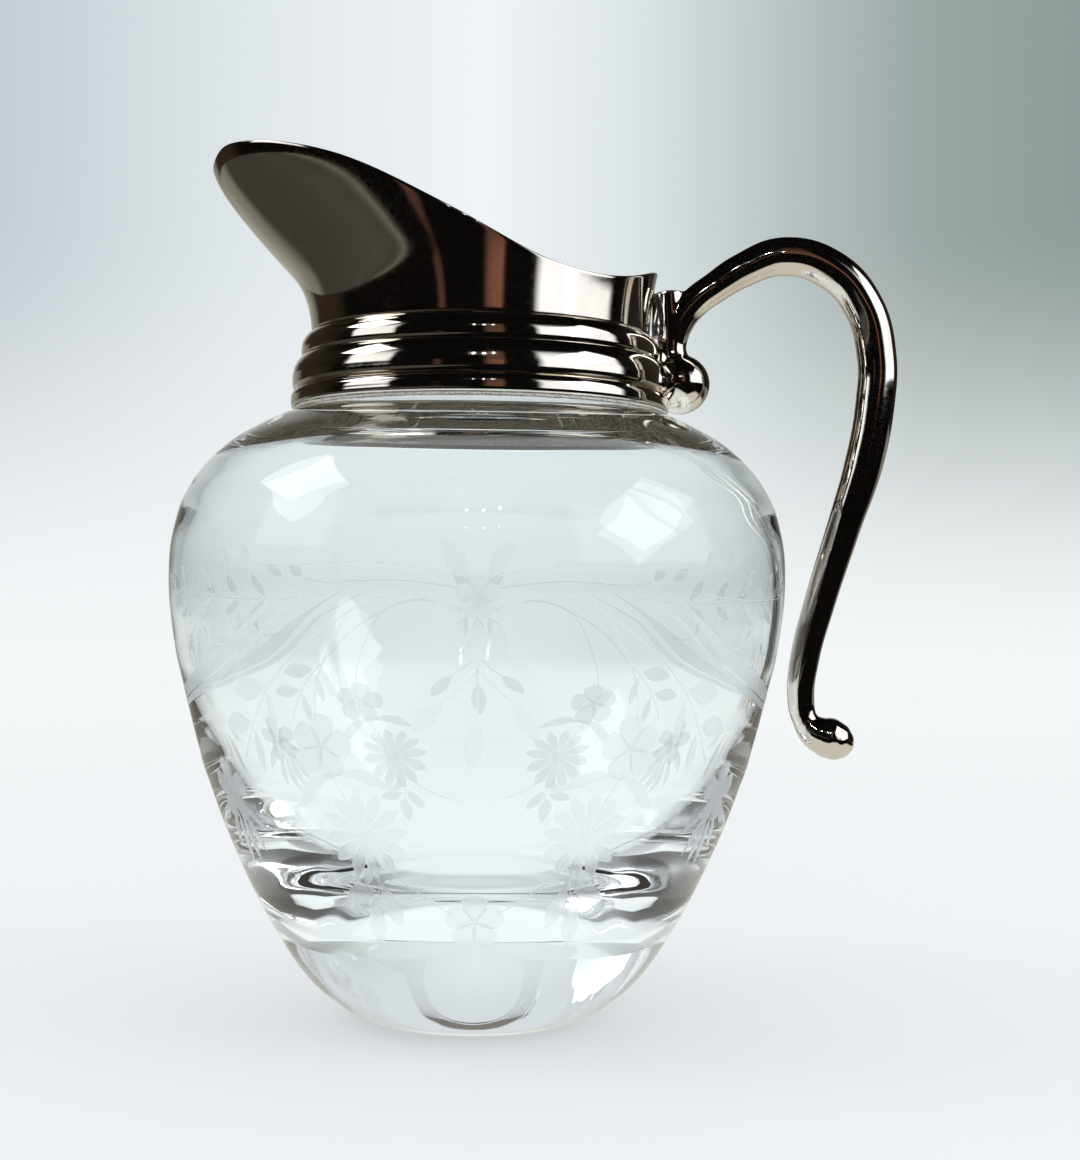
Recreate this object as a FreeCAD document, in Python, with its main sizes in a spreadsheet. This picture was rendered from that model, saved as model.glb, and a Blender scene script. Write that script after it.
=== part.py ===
import FreeCAD, Part
import math
import os
import Sketcher

Vector = FreeCAD.Vector
doc = FreeCAD.newDocument("CrystalPitcher")

# Driving dimensions in millimetres
sizes = {
    # Glass, outside
    "foot_radius": 25.5,
    "belly_radius": 76.5,
    "belly_height": 110.0,
    "ledge_height": 149.6,
    "ledge_width": 4.4,
    # Glass, inside
    "belly_wall": 3.1,
    "shoulder_wall": 3.2,
    "neck_wall": 3.0,
    "neck_reach": 15.5,
    "base_thickness": 25.8,
    "floor_radius": 27.5,
    "floor_rise": 4.2,
    "throat_round": 3.7,
    "throat_drop": 1.0,
    "throat_rise": 5.0,
    # Cement between glass and collar
    "cement_gap": 0.7,
    "cement_bed": 0.9,
    # Collar band and its rings
    "sleeve_radius": 42.2,
    "sleeve_wall": 1.2,
    "upper_ring_height": 6.0,
    "upper_ring_top_width": 0.2,
    "upper_ring_foot_width": 2.2,
    "upper_ring_bulge": 1.15,
    "middle_ring_height": 7.8,
    "middle_ring_top_width": 2.4,
    "middle_ring_foot_width": 3.8,
    "middle_ring_bulge": 1.5,
    "lower_ring_height": 4.8,
    "lower_ring_top_width": 3.6,
    "lower_ring_foot_width": 4.4,
    "lower_ring_bulge": 1.0,
    # Spout shell
    "spout_reach": 68.0,
    "spout_height": 43.3,
    "spout_flare": 1.4,
    "back_rim_flare": 2.4,
    "spout_wall": 1.2,
    # Handle
    "spine_standoff": 5.7,
    "spine_radius": 3.6,
    "spine_rise": 12.4,
    "ball_standoff": 7.8,
    "ball_radius": 7.6,
    "grip_clearance": 23.3,
    "arch_rise": 21.8,
    "tail_drop": 97.2,
    "handle_rod": 10.3,
    "knob_length": 13.8,
    "knob_thickness": 10.4,
    "solder_width": 6.4,
    "solder_clearance": 0.2,
}

# Points of the glass outline: share of the way from foot to belly, share of the belly's height
flank_shares = {"heel": (0.36, 0.14), "flank": (0.925, 0.745)}
# From the collar's edge out to the belly, and from the belly up to the ledge
shoulder_shares = {"shoulder": (0.73, 0.63), "crown": (0.21, 0.92)}
# Inside: from the floor's edge out to the wall, and from the floor's edge up to the belly
cavity_shares = {"inner_heel": (0.48, 0.21), "inner_flank": (0.85, 0.61)}
# Inside: from the bore out to the wall, and from the belly up to the underside of the ledge
vault_shares = {"vault": (0.79, 0.633), "inner_crown": (0.40, 0.92)}

# Middle of the handle's arch: share of its reach from the spine, share of the way from tail to arch
arch_shares = [(0.012, 0.862), (0.21, 0.935), (0.541, 1.0), (0.825, 0.954)]
# Middle of the grip: share of its clearance beyond the belly, share of the way from tail to arch
grip_shares = [
    (0.966, 0.824), (1.0, 0.707), (0.853, 0.538), (0.597, 0.385), (0.305, 0.194), (0.207, 0.063),
    (0.287, 0.0),
]

# Places that follow from the sizes
places = {
    "ledge_radius": "=sleeve_radius + ledge_width",
    "collar_base": "=ledge_height + cement_bed",
    "collar_height": "=lower_ring_height + middle_ring_height + upper_ring_height",
    "collar_top": "=collar_base + collar_height",
    "lower_ring_top": "=collar_base + lower_ring_height",
    "middle_ring_top": "=lower_ring_top + middle_ring_height",
    "sleeve_bore": "=sleeve_radius - sleeve_wall",
    "neck_radius": "=sleeve_bore - cement_gap",
    "bore_radius": "=neck_radius - neck_wall",
    "neck_top": "=collar_base + neck_reach",
    "wall_radius": "=belly_radius - belly_wall",
    "floor_edge_height": "=base_thickness + floor_rise",
    "ledge_underside": "=ledge_height - shoulder_wall",
    "throat_radius": "=bore_radius + throat_round",
    "throat_low": "=ledge_height - throat_drop",
    "throat_high": "=ledge_height + throat_rise",
    "spine_place": "=sleeve_radius + spine_standoff",
    "spine_top": "=collar_top + spine_rise",
    "ball_place": "=sleeve_radius + ball_standoff",
    "ball_height": "=collar_base + ball_radius",
    "spine_length": "=spine_top - ball_height",
    "handle_reach": "=belly_radius + grip_clearance - spine_place",
    "arch_height": "=collar_top + arch_rise",
    "tail_height": "=collar_top - tail_drop",
}
for point, (out, up) in flank_shares.items():
    places[point + "_radius"] = f"=foot_radius + (belly_radius - foot_radius) * {out}"
    places[point + "_height"] = f"=belly_height * {up}"
for point, (out, up) in shoulder_shares.items():
    places[point + "_radius"] = f"=ledge_radius + (belly_radius - ledge_radius) * {out}"
    places[point + "_height"] = f"=belly_height + (ledge_height - belly_height) * {up}"
for point, (out, up) in cavity_shares.items():
    places[point + "_radius"] = f"=floor_radius + (wall_radius - floor_radius) * {out}"
    places[point + "_height"] = f"=floor_edge_height + (belly_height - floor_edge_height) * {up}"
for point, (out, up) in vault_shares.items():
    places[point + "_radius"] = f"=bore_radius + (wall_radius - bore_radius) * {out}"
    places[point + "_height"] = f"=belly_height + (ledge_underside - belly_height) * {up}"
for ring in ("upper", "middle", "lower"):
    for edge in ("top", "foot"):
        places[f"{ring}_ring_{edge}_radius"] = f"=sleeve_radius + {ring}_ring_{edge}_width"

arm_places = [f"=spine_place + handle_reach * {out}" for out, up in arch_shares]
arm_places += [f"=belly_radius + grip_clearance * {out}" for out, up in grip_shares]
for index, (out, up) in enumerate(arch_shares + grip_shares):
    places[f"arm_{index}_out"] = arm_places[index]
    places[f"arm_{index}_height"] = f"=tail_height + (arch_height - tail_height) * {up}"

sheet = doc.addObject("Spreadsheet::Sheet", "Sizes")
for row, (alias, content) in enumerate({**sizes, **places}.items(), start=1):
    sheet.set(f"A{row}", alias)
    sheet.set(f"B{row}", str(content))
    sheet.setAlias(f"B{row}", alias)
doc.recompute()


def size(alias):
    return float(getattr(sheet, alias))


def bind(feature, **expressions):
    for name, expression in expressions.items():
        feature.setExpression(name.replace("__", "."), expression)


# Outlines of turned pieces


def turned_sketch(body, name):
    sketch = body.newObject("Sketcher::SketchObject", name)
    plane = next(p for p in body.Origin.OriginFeatures if p.Role == "XZ_Plane")
    sketch.AttachmentSupport = [(plane, "")]
    sketch.MapMode = "FlatFace"
    return sketch


def spot(point):
    radius, height = point
    return Vector(size(radius) if radius else 0, size(height) if height else 0, 0)


def pin(sketch, edge, end, point):
    # Ties one end of an edge to its radius and height, or to the axis where there is none
    for kind, alias, axis in (("DistanceX", point[0], -2), ("DistanceY", point[1], -1)):
        if alias is None:
            sketch.addConstraint(Sketcher.Constraint("PointOnObject", edge, end, axis))
            continue
        index = sketch.addConstraint(Sketcher.Constraint(kind, -1, 1, edge, end, size(alias)))
        sketch.renameConstraint(index, f"{alias}_{edge}_{end}")
        sketch.setExpression(f"Constraints.{alias}_{edge}_{end}", f"Sizes.{alias}")


def arc_geometry(first, last, centre):
    # A minor arc, and which of its ends (1 or 2) is the first point
    radius = (first - centre).Length
    turn = (first - centre).cross(last - centre).z
    angles = [math.atan2(p.y - centre.y, p.x - centre.x) for p in (first, last)]
    if turn < 0:
        angles.reverse()
    arc = Part.ArcOfCircle(Part.Circle(centre, Vector(0, 0, 1), radius), *angles)
    return arc, (1, 2) if turn > 0 else (2, 1)


def centre_of_tangent_arc(first, heading, last):
    # The circle that leaves first along heading and passes through last
    side = Vector(-heading.y, heading.x, 0)
    chord = last - first
    return first + side * (chord.Length ** 2 / (side.dot(chord) + side.dot(chord)))


def heading_after(first, heading, last):
    # An arc turns its heading by twice the angle between heading and chord
    chord = (last - first).normalize()
    along = heading.dot(chord)
    return (chord * (along + along) - heading).normalize()


def draw_outline(sketch, points, arcs, smooth=()):
    # Draws a closed outline: an edge from each point to the next, straight unless named in arcs,
    # which gives the centre of the arc that starts at that point. The edges run on smoothly
    # through the points in smooth
    ends = []
    for index, point in enumerate(points):
        first, last = spot(point), spot(points[(index + 1) % len(points)])
        if index in arcs:
            geometry, order = arc_geometry(first, last, arcs[index])
        else:
            geometry, order = Part.LineSegment(first, last), (1, 2)
        ends.append((sketch.addGeometry(geometry, False), order))
    for index, point in enumerate(points):
        edge, order = ends[index]
        before, before_order = ends[index - 1]
        joint = "Tangent" if index in smooth else "Coincident"
        sketch.addConstraint(Sketcher.Constraint(joint, before, before_order[1], edge, order[0]))
        pin(sketch, edge, order[0], point)
    return ends


def revolve(body, sketch):
    turned = body.newObject("PartDesign::Revolution", body.Label + "_turned")
    turned.Profile = sketch
    turned.ReferenceAxis = (sketch, ["V_Axis"])
    return body


def make_body(label):
    body = doc.addObject("PartDesign::Body", label)
    body.Label = label
    return body


# Crystal body: solid base, hollow belly and short neck


def make_crystal_body():
    body = make_body("crystal_body")
    sketch = turned_sketch(body, "glass_outline")
    names = ["heel", "flank", "belly", "shoulder", "crown"]
    outside = [(name + "_radius", name + "_height") for name in names]
    inside = [(name + "_radius", name + "_height") for name in ("inner_crown", "vault")]
    inside.append(("wall_radius", "belly_height"))
    inside += [(name + "_radius", name + "_height") for name in ("inner_flank", "inner_heel")]
    neck = [
        ("ledge_radius", "ledge_height"),
        ("neck_radius", "ledge_height"),
        ("neck_radius", "neck_top"),
        ("bore_radius", "neck_top"),
        ("bore_radius", "throat_high"),
        ("throat_radius", "throat_low"),
    ]
    floor = [("floor_radius", "floor_edge_height"), (None, "base_thickness")]
    points = [(None, None), ("foot_radius", None)] + outside + neck + inside + floor
    at = {point: index for index, point in enumerate(points)}
    up, down = Vector(0, 1, 0), Vector(0, -1, 0)
    arcs, smooth, level = {}, [], []

    def chain(start, heading, route):
        # Arcs that run on from one another, starting at the widest point
        here = start
        for point in route:
            centre = centre_of_tangent_arc(spot(here), heading, spot(point))
            arc = min(at[here], at[point])
            arcs[arc] = centre
            if here == start:
                level.append(arc)
            else:
                smooth.append(at[here])
            heading = heading_after(spot(here), heading, spot(point))
            here = point

    belly, wall = outside[2], inside[2]
    chain(belly, down, [outside[1], outside[0], ("foot_radius", None)])
    chain(belly, up, [outside[3], outside[4]])
    chain(wall, up, [inside[1], inside[0]])
    chain(wall, down, [inside[3], inside[4], floor[0]])
    rise = size("floor_rise")
    bowl_radius = (size("floor_radius") ** 2 + rise ** 2) / (rise + rise)
    arcs[at[floor[0]]] = Vector(0, size("base_thickness") + bowl_radius, 0)
    throat_heading = (spot(neck[5]) - spot(inside[0])).normalize()
    arcs[at[neck[4]]] = centre_of_tangent_arc(spot(neck[5]), throat_heading, spot(neck[4]))
    smooth.append(at[neck[5]])
    ends = draw_outline(sketch, points, arcs, smooth)

    # The arcs that meet at the widest points have their centres level with them
    for arc in level:
        edge = ends[arc][0]
        index = sketch.addConstraint(
            Sketcher.Constraint("DistanceY", -1, 1, edge, 3, size("belly_height"))
        )
        sketch.renameConstraint(index, f"level_{edge}")
        sketch.setExpression(f"Constraints.level_{edge}", "Sizes.belly_height")
    bowl = ends[at[floor[0]]][0]
    sketch.addConstraint(Sketcher.Constraint("PointOnObject", bowl, 3, -2))
    return revolve(body, sketch)


# Cement: a thin tube round the neck with a bed under the collar


def make_neck_cement():
    body = make_body("neck_cement")
    sketch = turned_sketch(body, "cement_outline")
    points = [
        ("neck_radius", "ledge_height"),
        ("ledge_radius", "ledge_height"),
        ("ledge_radius", "collar_base"),
        ("sleeve_bore", "collar_base"),
        ("sleeve_bore", "neck_top"),
        ("neck_radius", "neck_top"),
    ]
    draw_outline(sketch, points, {})
    return revolve(body, sketch)


# Collar: a plain sleeve and three rounded rings stacked on it


def make_collar_sleeve():
    body = make_body("collar_sleeve")
    sketch = turned_sketch(body, "sleeve_outline")
    points = [
        ("sleeve_bore", "collar_base"),
        ("sleeve_radius", "collar_base"),
        ("sleeve_radius", "collar_top"),
        ("sleeve_bore", "collar_top"),
    ]
    draw_outline(sketch, points, {})
    return revolve(body, sketch)


def make_collar_ring(ring, low, high):
    body = make_body(f"collar_ring_{ring}")
    sketch = turned_sketch(body, f"{ring}_ring_outline")
    points = [
        ("sleeve_radius", low),
        (f"{ring}_ring_foot_radius", low),
        (f"{ring}_ring_top_radius", high),
        ("sleeve_radius", high),
    ]
    foot, top = spot(points[1]), spot(points[2])
    chord = top - foot
    bulge = size(f"{ring}_ring_bulge")
    radius = ((chord.Length / 2) ** 2 + bulge ** 2) / (bulge + bulge)
    inward = Vector(-chord.y, chord.x, 0).normalize()
    centre = (foot + top) * 0.5 + inward * (radius - bulge)
    ends = draw_outline(sketch, points, {1: centre})
    index = sketch.addConstraint(Sketcher.Constraint("Radius", ends[1][0], radius))
    sketch.renameConstraint(index, "face_radius")
    width = f"(Sizes.{ring}_ring_foot_width - Sizes.{ring}_ring_top_width)"
    half_chord = f"({width} ^ 2 + Sizes.{ring}_ring_height ^ 2) / 4"
    swell = f"Sizes.{ring}_ring_bulge"
    sketch.setExpression("Constraints.face_radius", f"({half_chord} + {swell} ^ 2) / (2 * {swell})")
    return revolve(body, sketch)


# Spout shell: egg-shaped level sections that grow forward, cut off along the rim

# Height of each section as a share of the spout's height, and how far its front has come forward
section_shares = [
    (0.0, 0.0), (0.14, 0.035), (0.28, 0.13), (0.44, 0.375), (0.62, 0.645), (0.80, 0.88),
    (0.93, 1.0), (1.08, 1.03),
]
# The rim seen from the side: share of the spout's reach in front or of the back rim behind, and
# share of the spout's height
rim_shares = [
    (-1.06, 0.84), (-0.985, 0.935), (-0.90, 0.998), (-0.72, 0.956), (-0.45, 0.828), (-0.11, 0.562),
    (0.30, 0.318), (0.58, 0.254), (0.81, 0.278), (1.0, 0.374), (1.10, 0.48),
]


def egg_section(height, front, side, back):
    # A closed level curve: half an ellipse in front of the axis and half behind it
    centre = Vector(0, 0, height)
    left, right = Vector(0, side, height), Vector(0, -side, height)

    def half(reach, tip):
        if math.isclose(reach, side):
            return Part.Arc(left, tip, right).toShape()
        long_end, short_end = (tip, left) if reach > side else (left, tip)
        ellipse = Part.Ellipse(long_end, short_end, centre)
        first, last = ellipse.parameter(left), ellipse.parameter(right)
        arc = Part.ArcOfEllipse(ellipse, first, last)
        middle = arc.value((arc.FirstParameter + arc.LastParameter) / 2)
        if (middle - tip).Length > (middle + tip - centre - centre).Length:
            arc = Part.ArcOfEllipse(ellipse, last, first)
        return arc.toShape()

    return Part.Wire([half(front, Vector(-front, 0, height)), half(back, Vector(back, 0, height))])


def spout_block(inset):
    wires = []
    for up, forward in section_shares:
        height = size("collar_top") + size("spout_height") * up
        front = size("sleeve_radius") + (size("spout_reach") - size("sleeve_radius")) * forward
        side = size("sleeve_radius") + size("spout_flare") * min(up, 1)
        back = size("sleeve_radius") + size("back_rim_flare") * min(up / rim_shares[-2][1], 1) ** 2
        wires.append(egg_section(height, front - inset, side - inset, back - inset))
    return Part.makeLoft(wires, True)


def rim_trim_block():
    back_rim = size("sleeve_radius") + size("back_rim_flare")
    curve = []
    for along, up in rim_shares:
        x = along * (size("spout_reach") if along < 0 else back_rim)
        curve.append(Vector(x, 0, size("collar_top") + size("spout_height") * up))
    rim = Part.BSplineCurve()
    rim.interpolate(curve)
    low_front = Vector(curve[0].x, 0, size("collar_base"))
    low_back = Vector(curve[-1].x, 0, size("collar_base"))
    sides = [
        Part.makeLine(curve[-1], low_back),
        Part.makeLine(low_back, low_front),
        Part.makeLine(low_front, curve[0]),
    ]
    face = Part.Face(Part.Wire([rim.toShape()] + sides))
    face.translate(Vector(0, -size("spout_reach"), 0))
    return face.extrude(Vector(0, size("spout_reach") + size("spout_reach"), 0))


def add_shape(name, shape):
    feature = doc.addObject("Part::Feature", name)
    feature.Shape = shape
    feature.Placement = FreeCAD.Placement()
    return feature


def combine(kind, label, base, tool):
    feature = doc.addObject(kind, label)
    feature.Label = label
    feature.Base = base
    feature.Tool = tool
    return feature


def make_spout_shell():
    outer = add_shape("spout_outside", spout_block(0))
    inner = add_shape("spout_inside", spout_block(size("spout_wall")))
    wall = combine("Part::Cut", "spout_wall_uncut", outer, inner)
    trim = add_shape("rim_trim", rim_trim_block())
    return combine("Part::Common", "spout_shell", wall, trim), outer


# Handle: spine and ball against the collar, scrolled arm and egg-shaped end

# Thickness of the arm at each of its points, as a share of the rod
rod_shares = [1.0, 0.78, 0.98, 1.02, 1.0, 1.0, 0.93, 0.74, 0.71, 0.68, 0.66]
rod_depth_share = 0.94
knob_tilt = -23.4  # degrees below level, pointing away from the glass
knob_seat_share = 0.42  # of the knob's length that lies beyond the arm's last point


def make_handle(rings, shell_outside):
    middles = [
        Vector(size(f"arm_{index}_out"), 0, size(f"arm_{index}_height"))
        for index in range(len(arm_places))
    ]
    line = Part.BSplineCurve()
    line.interpolate(middles)
    sections = []
    for index, middle in enumerate(middles):
        section = doc.addObject("Part::Ellipse", f"arm_section_{index}")
        half = f"Sizes.handle_rod * {rod_shares[index]} / 2"
        bind(section, MajorRadius=half, MinorRadius=f"{half} * {rod_depth_share}")
        along = line.tangent(line.parameter(middle))[0]
        turn = math.degrees(math.atan2(along.x, along.z))
        section.Placement = FreeCAD.Placement(middle, FreeCAD.Rotation(Vector(0, 1, 0), turn))
        bind(
            section,
            Placement__Base__x=f"Sizes.arm_{index}_out",
            Placement__Base__z=f"Sizes.arm_{index}_height",
        )
        sections.append(section)
    arm = doc.addObject("Part::Loft", "handle_arm")
    arm.Sections = sections
    arm.Solid = True

    spine = doc.addObject("Part::Cylinder", "handle_spine")
    bind(spine, Radius="Sizes.spine_radius", Height="Sizes.spine_length")
    bind(spine, Placement__Base__x="Sizes.spine_place", Placement__Base__z="Sizes.ball_height")

    ball = doc.addObject("Part::Sphere", "handle_ball")
    bind(ball, Radius="Sizes.ball_radius")
    bind(ball, Placement__Base__x="Sizes.ball_place", Placement__Base__z="Sizes.ball_height")

    knob = doc.addObject("Part::Ellipsoid", "handle_knob")
    bind(
        knob,
        Radius1="Sizes.knob_thickness / 2",
        Radius2="Sizes.knob_length / 2",
        Radius3="Sizes.knob_thickness / 2",
    )
    tilt = math.radians(knob_tilt)
    reach = size("knob_length") * knob_seat_share
    seat = middles[-1] + Vector(math.cos(tilt) * reach, 0, math.sin(tilt) * reach)
    knob.Placement = FreeCAD.Placement(seat, FreeCAD.Rotation(Vector(0, 1, 0), -knob_tilt))

    casting = doc.addObject("Part::MultiFuse", "handle_casting")
    casting.Shapes = [arm, spine, ball, knob]
    mount = doc.addObject("Part::MultiFuse", "collar_outside")
    mount.Shapes = rings + [shell_outside]
    return combine("Part::Cut", "handle", casting, mount)


# Solder: fills the gap between the spine and the shell above the rings


def make_handle_solder(handle, shell_outside):
    block = doc.addObject("Part::Box", "solder_block")
    bind(
        block,
        Length="Sizes.spine_standoff + Sizes.sleeve_wall / 2",
        Width="Sizes.solder_width",
        Height="Sizes.spine_rise - 2 * Sizes.solder_clearance",
        Placement__Base__x="Sizes.sleeve_radius - Sizes.sleeve_wall / 2",
        Placement__Base__y="-Sizes.solder_width / 2",
        Placement__Base__z="Sizes.collar_top + Sizes.solder_clearance",
    )
    outside = combine("Part::Cut", "solder_outside", block, shell_outside)
    return combine("Part::Cut", "handle_solder", outside, handle)


crystal_body = make_crystal_body()
neck_cement = make_neck_cement()
collar_sleeve = make_collar_sleeve()
ring_lower = make_collar_ring("lower", "collar_base", "lower_ring_top")
ring_middle = make_collar_ring("middle", "lower_ring_top", "middle_ring_top")
ring_upper = make_collar_ring("upper", "middle_ring_top", "collar_top")
doc.recompute()
rings = [ring_lower, ring_middle, ring_upper]
spout_shell, shell_outside = make_spout_shell()
handle = make_handle(rings, shell_outside)
handle_solder = make_handle_solder(handle, shell_outside)
doc.recompute()

pieces = [crystal_body, neck_cement, collar_sleeve] + rings + [spout_shell, handle, handle_solder]
for feature in doc.Objects:
    if "Invalid" in feature.State or "Error" in feature.State:
        raise RuntimeError(f"{feature.Label} failed: {feature.State}")
for piece in pieces:
    if piece.Shape.isNull() or not piece.Shape.isValid() or not piece.Shape.Solids:
        raise RuntimeError(f"{piece.Label} has no valid solid")

os.makedirs("parts", exist_ok=True)
for piece in pieces:
    piece.Shape.exportStep(f"parts/{piece.Label}.step")
    box = piece.Shape.optimalBoundingBox(False)
    print(
        f"{piece.Label}: {len(piece.Shape.Solids)} solid, {piece.Shape.Volume:.0f} mm3, "
        f"x {box.XMin:.1f}..{box.XMax:.1f}, y {box.YMin:.1f}..{box.YMax:.1f}, "
        f"z {box.ZMin:.1f}..{box.ZMax:.1f}"
    )
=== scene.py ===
import bpy
import math
from mathutils import Matrix, Vector


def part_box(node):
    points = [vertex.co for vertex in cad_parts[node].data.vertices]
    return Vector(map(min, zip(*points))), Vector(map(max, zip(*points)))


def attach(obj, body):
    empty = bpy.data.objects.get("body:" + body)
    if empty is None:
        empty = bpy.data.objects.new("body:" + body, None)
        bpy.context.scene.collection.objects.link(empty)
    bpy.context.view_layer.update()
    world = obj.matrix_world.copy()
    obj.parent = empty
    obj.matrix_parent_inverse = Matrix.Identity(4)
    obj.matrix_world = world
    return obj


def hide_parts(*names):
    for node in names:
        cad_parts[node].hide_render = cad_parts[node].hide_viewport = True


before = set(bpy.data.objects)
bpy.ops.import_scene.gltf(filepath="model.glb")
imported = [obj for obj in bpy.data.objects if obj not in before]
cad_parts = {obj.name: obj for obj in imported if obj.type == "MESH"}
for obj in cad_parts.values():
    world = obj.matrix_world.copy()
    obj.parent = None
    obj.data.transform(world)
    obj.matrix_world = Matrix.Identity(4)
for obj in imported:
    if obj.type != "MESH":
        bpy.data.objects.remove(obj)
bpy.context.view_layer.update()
mm = 0.001
scene = bpy.context.scene
scene.view_settings.view_transform = "Standard"
scene.cycles.max_bounces = 24  # thick glass turns light many times
scene.cycles.transmission_bounces = 24
scene.cycles.glossy_bounces = 24
print("frame loaded with", len(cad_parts), "nodes")


# Small tools for modelling

def pick(piece):
    bpy.ops.object.select_all(action="DESELECT")
    bpy.context.view_layer.objects.active = piece
    piece.select_set(True)


def finishWith(piece, kind, **settings):
    pick(piece)
    modifier = piece.modifiers.new(kind.title(), kind)
    for key, value in settings.items():
        setattr(modifier, key, value)
    bpy.ops.object.modifier_apply(modifier=modifier.name)


def shadeSmooth(piece, degrees=40):
    pick(piece)
    bpy.ops.object.shade_smooth_by_angle(angle=math.radians(degrees))


def faceOutwards(piece):
    pick(piece)
    bpy.ops.object.mode_set(mode="EDIT")
    bpy.ops.mesh.select_all(action="SELECT")
    bpy.ops.mesh.normals_make_consistent(inside=False)
    bpy.ops.object.mode_set(mode="OBJECT")


def joinPieces(name, pieces):
    pick(pieces[0])
    for piece in pieces[1:]:
        piece.select_set(True)
    bpy.ops.object.join()
    joined = bpy.context.object
    joined.name = joined.data.name = name
    return joined


def castTogether(name, pieces, grain, polish):
    # joins pieces into one skin, with faces of the grain's size in millimetres
    cast = joinPieces(name, pieces)
    cast.data.remesh_voxel_size = grain * mm
    pick(cast)
    bpy.ops.object.voxel_remesh()
    finishWith(cast, "SMOOTH", factor=0.5, iterations=polish)
    shadeSmooth(cast, 80)
    return cast


def setPiece(piece, node, *materials):
    for material in materials:
        piece.data.materials.append(material)
    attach(piece, "root")
    if node:
        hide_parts(node)


def drawCurve(name, points, closed=False, fineness=8):
    # points are (radius, height, corner or smooth) in millimetres
    bpy.ops.object.select_all(action="DESELECT")
    bpy.ops.curve.primitive_bezier_curve_add(location=(0, 0, 0))
    curve = bpy.context.object
    curve.name = curve.data.name = name
    curve.data.resolution_u = fineness
    spline = curve.data.splines[0]
    spline.bezier_points.add(len(points) - 2)
    spline.use_cyclic_u = closed
    for spot, (radius, height, kind) in zip(spline.bezier_points, points):
        spot.co = (radius * mm, 0, height * mm)
        spot.handle_left_type = spot.handle_right_type = "VECTOR" if kind == "corner" else "AUTO"
    return curve


def turnOutline(name, points, closed=False, fineness=8, steps=160):
    curve = drawCurve(name, points, closed, fineness)
    pick(curve)
    bpy.ops.object.convert(target="MESH")
    piece = bpy.context.object
    bpy.ops.object.mode_set(mode="EDIT")
    bpy.ops.mesh.select_all(action="SELECT")
    bpy.ops.mesh.spin(steps=steps, angle=math.tau, center=(0, 0, 0), axis=(0, 0, 1))
    bpy.ops.mesh.select_all(action="SELECT")
    bpy.ops.mesh.remove_doubles(threshold=0.001 * mm)
    bpy.ops.mesh.normals_make_consistent(inside=False)
    bpy.ops.object.mode_set(mode="OBJECT")
    return piece


def smoothBetween(points, x):
    # a smooth line through (x, y) points, flat beyond its ends
    if x <= points[0][0]:
        return points[0][1]
    if x >= points[-1][0]:
        return points[-1][1]
    at = max(i for i in range(len(points) - 1) if points[i][0] <= x)
    slopes = []
    for i in (at, at + 1):
        before, after = points[max(i - 1, 0)], points[min(i + 1, len(points) - 1)]
        slopes.append((after[1] - before[1]) / (after[0] - before[0]))
    (x0, y0), (x1, y1) = points[at], points[at + 1]
    width = x1 - x0
    t = (x - x0) / width
    return ((1 + 2 * t) * (1 - t) ** 2 * y0 + t * (1 - t) ** 2 * width * slopes[0]
            + t * t * (3 - 2 * t) * y1 + t * t * (t - 1) * width * slopes[1])


# Materials

def newMaterial(name):
    material = bpy.data.materials.new(name)
    material.use_nodes = True
    nodes, links = material.node_tree.nodes, material.node_tree.links
    return material, nodes, links, nodes["Principled BSDF"]


def addNoise(nodes, links, scale, detail=3.0):
    place = nodes.new("ShaderNodeTexCoord")
    noise = nodes.new("ShaderNodeTexNoise")
    noise.inputs["Scale"].default_value = scale
    noise.inputs["Detail"].default_value = detail
    links.new(place.outputs["Object"], noise.inputs["Vector"])
    return noise


def spread(nodes, links, source, low, high):
    # turns a 0 to 1 value into the range low to high
    spreadNode = nodes.new("ShaderNodeMapRange")
    spreadNode.inputs["From Min"].default_value = 0.3
    spreadNode.inputs["From Max"].default_value = 0.7
    spreadNode.inputs["To Min"].default_value = low
    spreadNode.inputs["To Max"].default_value = high
    links.new(source, spreadNode.inputs["Value"])
    return spreadNode.outputs["Result"]


def addTones(nodes, links, shader, source, look, edges):
    # two tones that take turns over a surface
    tone = nodes.new("ShaderNodeValToRGB")
    for element, place, name in zip(tone.color_ramp.elements, edges, ("dull", "clean")):
        element.position, element.color = place, look[name]
    links.new(source, tone.inputs["Fac"])
    links.new(tone.outputs["Color"], shader.inputs["Base Color"])


def addBump(nodes, links, shader, height, strength, distance):
    bump = nodes.new("ShaderNodeBump")
    bump.inputs["Strength"].default_value = strength
    bump.inputs["Distance"].default_value = distance
    links.new(height, bump.inputs["Height"])
    links.new(bump.outputs["Normal"], shader.inputs["Normal"])


def stepBetween(nodes, links, source, low, high):
    # 0 below the low value, 1 above the high one
    node = nodes.new("ShaderNodeMapRange")
    node.interpolation_type = "SMOOTHSTEP"
    node.inputs["From Min"].default_value = low
    node.inputs["From Max"].default_value = high
    links.new(source, node.inputs["Value"])
    return node.outputs["Result"]


def mixColours(nodes, links, share, first, second):
    node = nodes.new("ShaderNodeMix")
    node.data_type = "RGBA"
    links.new(share, node.inputs["Factor"])
    for socket, colour in ((node.inputs["A"], first), (node.inputs["B"], second)):
        if isinstance(colour, tuple):
            socket.default_value = colour
        else:
            links.new(colour, socket)
    return node.outputs["Result"]


crystalLook = {"tint": (0.975, 0.985, 0.985, 1), "ior": 1.47, "waves": 28, "wave": 0.022, "depth": 2.0}


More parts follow.
